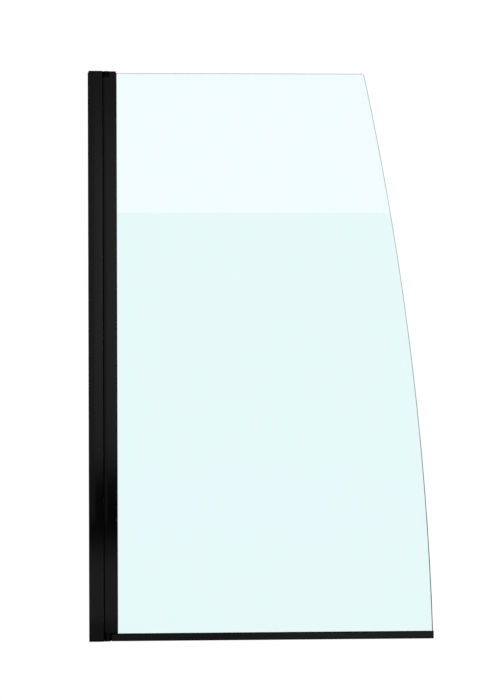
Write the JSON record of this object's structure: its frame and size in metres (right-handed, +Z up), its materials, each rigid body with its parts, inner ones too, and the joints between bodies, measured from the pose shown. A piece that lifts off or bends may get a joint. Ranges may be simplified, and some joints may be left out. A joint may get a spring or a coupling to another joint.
{
  "type": "bath screen",
  "caption": "Sail-shaped glass bath screen on a black wall post, with a full-height rise-and-fall hinge and a wiper seal along its foot.",
  "frame": {"origin": "on the wall plane at the foot of the post, in the middle of the post's width", "axes": "+X away from the wall along the closed screen, +Z up from the bath rim, -Y towards the room"},
  "size_m": [0.85, 0.0292, 1.4],
  "materials": {
    "black_aluminium": "matt powder coat",
    "black_nylon": "moulded",
    "stainless": "ground",
    "black_screw": "blackened",
    "black_rubber": "matt",
    "clear_glass": "polished"
  },
  "bodies": {
    "frame": {"wall_channel": "black_aluminium", "hinge_post": "black_aluminium", "post_top_cap": "black_nylon", "post_bottom_cap": "black_nylon", "top_cap_screws": "black_screw", "bottom_cap_screws": "stainless", "side_fixing_screws": "stainless", "side_screw_covers": "black_nylon", "hinge_gap_seal": "black_rubber", "lower_cam": "black_nylon", "upper_rod_bush": "black_nylon"},
    "spindle": {"pivot_rod": "stainless"},
    "screen": {"glass_profile": "black_aluminium", "profile_top_cap": "black_nylon", "cam_follower": "black_nylon", "upper_slide_bush": "black_nylon", "glazing_gasket_front": "black_rubber", "glazing_gasket_back": "black_rubber", "setting_blocks": "black_nylon", "glass_panel": "clear_glass", "seal_carrier": "black_aluminium", "wiper_fins": "black_rubber", "seal_end_caps": "black_nylon"}
  },
  "joints": [
    {"name": "screen_swing", "type": "hinge", "parent": "frame", "child": "spindle", "pos_m": [0.0455, 0, 0], "axis": [0, 0, -1], "range_deg": [0, 90]},
    {"name": "screen_lift", "type": "slide", "parent": "spindle", "child": "screen", "axis": [0, 0, 1], "range_m": [0, 0.01]}
  ],
  "couplings": [
    {"joint": "screen_lift", "follows": "screen_swing", "m_per_rad": 0.0063662}
  ]
}
